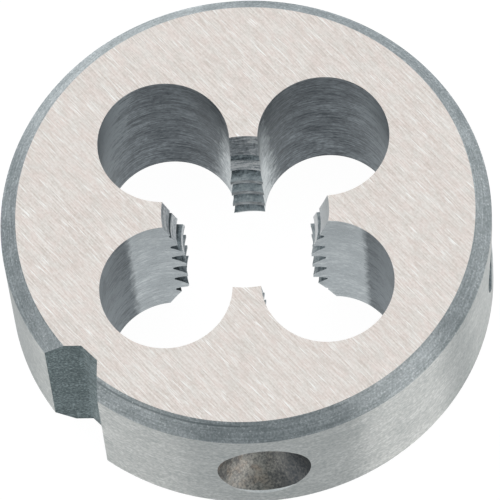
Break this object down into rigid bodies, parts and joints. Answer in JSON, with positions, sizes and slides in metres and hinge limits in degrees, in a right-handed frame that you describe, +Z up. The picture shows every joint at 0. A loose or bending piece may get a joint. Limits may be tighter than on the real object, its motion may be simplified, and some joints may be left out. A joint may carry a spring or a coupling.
{
  "type": "round threading die",
  "caption": "Round steel threading die that cuts an external screw thread, with toothed lands between chip holes and a notched rim.",
  "frame": {"origin": "on the axis of the thread, in the plane of the lower face", "axes": "+Z up along the thread's axis, toward the face with the long lead-in; -Y toward the notch in the rim; +X along the line of two chip holes"},
  "size_m": [0.025, 0.0249, 0.009],
  "materials": {
    "tool_steel": "ground tool steel: brushed bright on the faces and rim, dark and grainy in the bevels, notch, dimples and chip holes"
  },
  "bodies": {
    "root": {"round_die": "tool_steel"}
  },
  "joints": []
}
